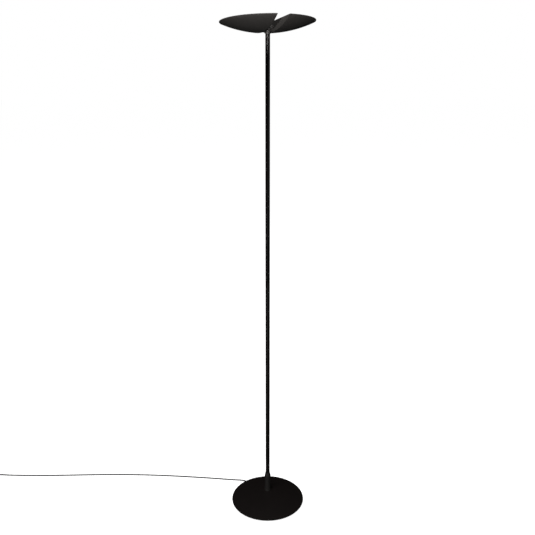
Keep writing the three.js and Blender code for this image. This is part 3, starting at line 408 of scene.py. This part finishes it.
# ---------- hinge knuckle ----------
barrel = lathe("hinge_knuckle", fillet([
    (0, -KNUCKLE_HALF_WIDTH, 0), (KNUCKLE_RADIUS, -KNUCKLE_HALF_WIDTH, 0.9),
    (KNUCKLE_RADIUS, KNUCKLE_HALF_WIDTH, 0.9), (0, KNUCKLE_HALF_WIDTH, 0)]), swivel_place @ along_x, 96)
neck = lathe("neck", fillet([
    (0, -50, 0), (4.3, -50, 0.4), (4.3, -47.5, 0), (3.7, -47.5, 0), (3.7, -45.7, 0), (4.3, -45.7, 0),
    (4.3, -19.7, 0), (9.6, -19.7, 0.7), (9.6, -4, 0), (0, -4, 0)]), swivel_place, 96)
combine(barrel, "UNION", neck)
combine(barrel, "DIFFERENCE", rod("cut", AXLE_BORE, -30, 30, swivel_place @ along_x, 64),
        rod("cut", LEAD_BORE, -52, 0, swivel_place, 40))
dress(barrel, "charcoal_paint", "swivel", "knuckle")

# ---------- head leaves ----------
DISH_RADIUS = 161
RIM_Z = 19.7
RIM_EDGE = 1.8  # height of the sheet's upright edge at the rim
DISH_BOTTOM = -15.1
SKIN = 2.2
WALL = 2.5
SLIT_FLAT = 12  # the slit's sides are parallel this far from the hinge, then flare out
SLIT_FLARE = 0.037
LEAF_MIDDLE = 62  # from the hinge to the point that the rings of a leaf close on
DIFFUSER_BOTTOM = 15.4
DIFFUSER_TOP = 17.6
BOSS_CIRCLE = 70
BOSS_ANGLES = (-40, 0, 40)
PEG_CIRCLE = 122.5
PEG_ANGLES = (-60, 0, 60)
DISH_DEPTH = RIM_Z - RIM_EDGE - DISH_BOTTOM
BULGE = (DISH_RADIUS**2 + DISH_DEPTH**2) / (2 * DISH_DEPTH)


def dish_z(x, y):
    return DISH_BOTTOM + BULGE - math.sqrt(BULGE**2 - x * x - y * y)


def leaf_ring(inset, radius, corner=2.0):
    """Plan of a leaf: the slit's side, set in by inset, and the arc of that radius, with the tips rounded."""
    edge = HALF_SLIT + inset
    start = edge - SLIT_FLARE * SLIT_FLAT
    k = 1 + SLIT_FLARE**2
    tip = (math.sqrt((start * SLIT_FLARE) ** 2 - k * (start**2 - radius**2)) - start * SLIT_FLARE) / k
    sharp_tip = Vector((start + SLIT_FLARE * tip, tip))
    side = [-tip + corner] + [-tip * math.cos(math.pi * i / 20) for i in range(2, 9)] + [-SLIT_FLAT, 0]
    side += [-y for y in reversed(side[:-1])]
    points = [Vector((edge + SLIT_FLARE * max(0, abs(y) - SLIT_FLAT), y)) for y in side]
    end = math.atan2(sharp_tip.y, sharp_tip.x) - corner / radius
    turns = [end * (1 - i / 24) for i in range(49)]
    arc = [Vector((radius * math.cos(a), radius * math.sin(a))) for a in turns]
    bend = [0.25, 0.5, 0.75]
    upper = [points[-1] * (1 - t) ** 2 + sharp_tip * 2 * t * (1 - t) + arc[0] * t * t for t in bend]
    lower = [Vector((p.x, -p.y)) for p in reversed(upper)]
    return points + upper + arc + lower


def inner_leaf_rings(inset, radius, lift, count=9):
    """Rings on the dish's surface, raised by lift, from a leaf's plan down to one point."""
    plan = leaf_ring(inset, radius)
    centre = Vector((LEAF_MIDDLE, 0))
    rings = []
    for k in range(count + 1):
        share = 1 - k / count
        spots = [centre + (p - centre) * share for p in plan] if share else [centre]
        rings.append([(p.x, p.y, dish_z(p.x, p.y) + lift) for p in spots])
    return rings


def leaf_shell(side, turn):
    """A dished sheet with an upright wall along the slit: its outside, its rim and then its inside."""
    outside = leaf_ring(0, DISH_RADIUS)
    skin = list(reversed(inner_leaf_rings(0.5, DISH_RADIUS - 0.5, 0)))
    floor_z = [dish_z(p.x, p.y) for p in outside]
    soft = [(0.12, 0.15), (0.0, 0.6)]
    rings = skin + [[(p.x, p.y, z + up) for p, z in zip(leaf_ring(inset, DISH_RADIUS - inset), floor_z)]
                    for inset, up in soft]
    for inset, down in [(0.0, 0.6), (0.15, 0.17), (0.5, 0.0)]:
        rings.append([(p.x, p.y, RIM_Z - down) for p in leaf_ring(inset, DISH_RADIUS - inset)])
    for inset, inner, down in [(WALL - 0.5, 1.0, 0.0), (WALL - 0.1, 1.08, 0.12), (WALL, 1.14, 0.5)]:
        ring = leaf_ring(inset, DISH_RADIUS - inner)
        rings.append([(p.x, p.y, max(RIM_Z - down, dish_z(p.x, p.y) + SKIN + 0.01)) for p in ring])
    rings += inner_leaf_rings(WALL, DISH_RADIUS - 1.2, SKIN)
    place = head_place @ turn
    shell = loft(f"head_leaf_{side}", rings, place)
    spots = [at_angle(place, angle, BOSS_CIRCLE) for angle in BOSS_ANGLES]
    bosses = [rod("boss", 3.5, dish_z(BOSS_CIRCLE, 0) + SKIN / 2, 7.9, spot, 32) for spot in spots]
    pilots = [rod("pilot", 1.5, -2, RIM_Z, spot, 24) for spot in spots]
    combine(shell, "UNION", *bosses)
    combine(shell, "DIFFERENCE", *pilots,
            rod("axle", AXLE_BORE, HALF_SLIT - 1, HALF_SLIT + 4, place @ along_x, 48))
    dress(shell, "charcoal_paint", "head", f"leaf_shell_{side}")


def leaf_diffuser(side, turn):
    """A flat sheet that fits the leaf's inside, with its edges rounded, on three pegs."""
    place = head_place @ turn
    low, high = DIFFUSER_BOTTOM, DIFFUSER_TOP

    def radius_at(z):
        return math.sqrt(BULGE**2 - (DISH_BOTTOM + BULGE - (z - SKIN)) ** 2) - 0.9

    levels = [  # height, set in from the slit's side, radius
        (low, WALL + 1.0, radius_at(low) - 0.4),
        (low + 0.4, WALL + 0.6, radius_at(low + 0.4)),
        (high - 0.5, WALL + 0.6, radius_at(high - 0.5)),
        (high - 0.12, WALL + 0.75, radius_at(high - 0.5) - 0.05),
        (high, WALL + 1.2, radius_at(high - 0.5) - 0.5),
    ]
    rings = [[(p.x, p.y, z) for p in leaf_ring(inset, radius)] for z, inset, radius in levels]
    rings = [[(LEAF_MIDDLE, 0, low)], *rings, [(LEAF_MIDDLE, 0, high)]]
    sheet = loft(f"head_diffuser_{side}", rings, place)
    pegs = [rod("peg", 2.5, 10, low + 0.4, at_angle(place, angle, PEG_CIRCLE), 24) for angle in PEG_ANGLES]
    combine(sheet, "UNION", *pegs)
    dress(sheet, "opal", "head", f"diffuser_{side}")


for leaf_side, leaf_turn in (("right", Matrix.Identity(4)), ("left", HALF_TURN)):
    leaf_shell(leaf_side, leaf_turn)
    leaf_diffuser(leaf_side, leaf_turn)
    washer = lathe(f"hinge_washer_{leaf_side}",
                   fillet([(AXLE_BORE, 0, 0), (10, 0, 0.15), (10, 0.7, 0.15), (AXLE_BORE, 0.7, 0)]),
                   head_place @ leaf_turn @ along_x @ Matrix.Translation((0, 0, KNUCKLE_HALF_WIDTH + GAP)), 64)
    dress(washer, "fibre", "head", f"friction_washer_{leaf_side}")

# ---------- foot dimmer ----------
dimmer_place = Matrix.Translation((*DIMMER_CENTRE, 0))


def dimmer_solid(name, levels):
    """A rounded box from (height, inset) levels."""
    rings = []
    for z, inset in levels:
        plan = rounded_rectangle(DIMMER_LENGTH - 2 * inset, DIMMER_WIDTH - 2 * inset, DIMMER_CORNER - inset)
        rings.append([(x, y, z) for x, y in plan])
    return loft(name, rings, dimmer_place)


def soft_edge(z, radius, up, steps=5):
    """(height, inset) levels of a quarter round that ends in a flat face at z."""
    turns = [math.pi / 2 * k / steps for k in range(steps + 1)]
    levels = [(z - up * radius * (1 - math.sin(a)), radius * (1 - math.cos(a))) for a in turns]
    return levels if up > 0 else list(reversed(levels))


dimmer_cord_place = dimmer_place @ Matrix.Translation((0, 0, DIMMER_CORD_Z)) @ along_x
port = rod("cut", CORD_RADIUS + GAP, -60, 60, dimmer_cord_place, 40)
dimmer_lower = dimmer_solid("dimmer_case_lower", soft_edge(0, 1.2, -1) + [(9.6, 0), (10, 0.3)])
combine(dimmer_lower, "DIFFERENCE", dimmer_solid("cut", [(2, 2), (12, 2)]))
collar = rod("collar", 4.6, 0.8 - DIMMER_LENGTH / 2, DIMMER_LENGTH / 2 - 0.8, dimmer_cord_place, 48)
combine(collar, "INTERSECT", dimmer_solid("cut", [(0.5, 1), (10, 1)]))
combine(dimmer_lower, "UNION", collar)
combine(dimmer_lower, "DIFFERENCE", port,
        loft("cut", [[(x, y, z) for x, y in rounded_rectangle(66, 10, 1)] for z in (2, 14)], dimmer_place))
dress(dimmer_lower, "black_plastic", "stand", "dimmer_base")

dimmer_upper = dimmer_solid("dimmer_case_upper", [(10.3, 0.3), (10.7, 0)] + soft_edge(22, 3.2, 1))
combine(dimmer_upper, "DIFFERENCE", dimmer_solid("cut", [(8, 2), (18.5, 2), (20, 3.5)]),
        rod("cut", 10.3, 9, 24, dimmer_place, 72))
finger_ring = lathe("ring", fillet([(10.3, 21.4, 0), (12.6, 21.4, 0), (12, 22.5, 0.3), (10.9, 22.5, 0.3)]),
                    dimmer_place, 72)
combine(dimmer_upper, "UNION", finger_ring)
dress(dimmer_upper, "black_plastic", "stand", "dimmer_cover")

button_outline = [(0, 15.5), (3, 15.5), (3, 18.2), (11.5, 18.2), (11.5, 19.7), (10, 19.7)]
button_outline += fillet([(10, 20, 0), (10, 24, 0.9), (6, 23.6, 1.5), (0, 23.2, 0)])[1:]
button = lathe("dimmer_push_button", button_outline, dimmer_place, 72)
dress(button, "black_plastic", "button", "dimmer_button")

# ---------- tie ----------
# A band round the coil's turns, on the far side from the dimmer.
tie_place = Matrix.Translation((COIL_CENTRE[0] - 27.5, COIL_CENTRE[1], 0)) @ HALF_TURN
band = []
for y, swell in ((-6, -0.12), (-5.6, 0.0), (0, 0.08), (5.6, 0.0), (6, -0.12)):
    band.append([(x, y, z) for x, z in fillet([(-8 - swell, 0.1, 2.5), (7 + swell, 0.1, 2.5),
                                               (7 + swell, 12 + swell, 2.5), (-8 - swell, 12 + swell, 2.5)])])
inner = []
for y in (6, -6):
    opening = fillet([(-7.3, 0.7, 2), (6.3, 0.7, 2), (6.3, 11.3, 2), (-7.3, 11.3, 2)])
    inner.append([(x, y, z) for x, z in opening])
tie = loft("coil_tie_band", band + inner, tie_place, tube=True)
dress(tie, "black_plastic", "stand", "coil_tie")

# ---------- plug ----------
plug_place = Matrix.Translation((PLUG_REAR_X, PLUG_Y, 0))
plug_half = [(0, 5, 2), (8, 6.5, 5), (17, 15, 6), (24, 17.6, 5), (36, 17.6, 1.5)]
plug_plan = fillet([(x, -y, r) for x, y, r in plug_half] + [(x, y, r) for x, y, r in reversed(plug_half)], 6)
plug_middle = Vector((20, 0))
plug_rings = []
for z, inset in soft_edge(0.2, 2.4, -1) + soft_edge(13.8, 2.4, 1):
    ring = []
    for x, y in plug_plan:
        away = Vector((x, y)) - plug_middle
        share = 1 - inset / max(away.length, 6)
        ring.append((plug_middle.x + away.x * share, plug_middle.y + away.y * share, z))
    plug_rings.append(ring)
plug = loft("mains_plug", plug_rings, plug_place)
pin_places = [plug_place @ Matrix.Translation((27, y, PLUG_CORD_Z)) @ along_x for y in (-9.3, 9.3)]
combine(plug, "DIFFERENCE", *[rod("cut", 2.3, 0, 20, place, 32) for place in pin_places])
dress(plug, "black_plastic", "stand", "plug_body")
for number, place in enumerate(pin_places, 1):
    pin_outline = fillet([(0, 0.3, 0), (2, 0.3, 0), (2, 28, 1.1), (0, 28, 0)], 5)
    pin = lathe(f"mains_plug_pin_{number}", pin_outline, place, 32)
    dress(pin, "nickel", "stand", f"plug_pin_{number}")

# ---------- carried-over frame pieces ----------
for part in frame["record"]["subparts"]:
    cad = frame["nodes"][part["node"]]
    if cad.hide_render:
        continue
    for slot in cad.material_slots:
        slot.link = "OBJECT"
        slot.material = MATERIALS[part["material_slot"]]

# ---------- floor, world and lights ----------
REACH = 60
floor_mesh = bpy.data.meshes.new("floor")
floor_corners = [(-REACH, -REACH, 0), (REACH, -REACH, 0), (REACH, REACH, 0), (-REACH, REACH, 0)]
floor_mesh.from_pydata(floor_corners, [], [(0, 1, 2, 3)])
floor = bpy.data.objects.new("floor", floor_mesh)
COLLECTION.objects.link(floor)
pale = bpy.data.materials.new("pale_floor")
pale.use_nodes = True
floor_shader = pale.node_tree.nodes["Principled BSDF"]
floor_shader.inputs["Base Color"].default_value = (0.85, 0.85, 0.85, 1)
floor_shader.inputs["Roughness"].default_value = 0.9
floor_shader.inputs["Specular IOR Level"].default_value = 0.1
floor_shader.inputs["Emission Color"].default_value = (1, 1, 1, 1)
floor_shader.inputs["Emission Strength"].default_value = 0.99
floor_mesh.materials.append(pale)
floor.visible_glossy = False
floor.visible_diffuse = False

world = bpy.data.worlds.new("world")
bpy.context.scene.world = world
world.use_nodes = True
sky = world.node_tree
room = sky.nodes["Background"]
room.inputs["Color"].default_value = (1, 1, 1, 1)
path = node(sky, "ShaderNodeLightPath")
strength = node(sky, "ShaderNodeMapRange", To_Min=0.01, To_Max=1.0)
sky.links.new(path.outputs["Is Camera Ray"], strength.inputs["Value"])
sky.links.new(strength.outputs["Result"], room.inputs["Strength"])


def studio_light(name, kind, place, target, power, **settings):
    """A light at place that shines towards target."""
    data = bpy.data.lights.new(name, kind)
    data.energy = power
    for setting, value in settings.items():
        setattr(data, setting, value)
    light = bpy.data.objects.new(name, data)
    light.location = place
    light.rotation_euler = (Vector(target) - Vector(place)).to_track_quat("-Z", "Y").to_euler()
    COLLECTION.objects.link(light)


def softbox(name, place, target, size, power):
    studio_light(name, "AREA", place, target, power, shape="RECTANGLE", size=size[0], size_y=size[1])


# Two snooted lights: their beams end at the hub, so they light the head and hardly the pole.
for snoot_name, snoot_place, snoot_power in (("snoot_left", (-0.55, -1.95, 1.71), 370),
                                             ("snoot_right", (0.35, -2.0, 1.71), 160)):
    studio_light(snoot_name, "SPOT", snoot_place, (0, 0.05, 2.2), snoot_power, spot_size=math.radians(25),
                 spot_blend=0.15, shadow_soft_size=0.06)
softbox("overhead", (-0.6, -1.0, 4.5), (0, 0, 0), (1.5, 1.5), 110)
softbox("fill", (2.6, -1.8, 1.5), (0, 0.05, 1.0), (1.2, 1.6), 6)
softbox("low", (-0.8, -2.3, 0.3), (0, 0.05, 0.3), (0.5, 0.4), 3)
# A wide soft beam on the socket and the foot of the pole.
studio_light("low_beam", "SPOT", (-0.9, -2.2, 0.4), (0, 0.05, 0.16), 42, spot_size=math.radians(26),
             spot_blend=0.8, shadow_soft_size=0.25)

bpy.context.scene.view_settings.view_transform = "Standard"
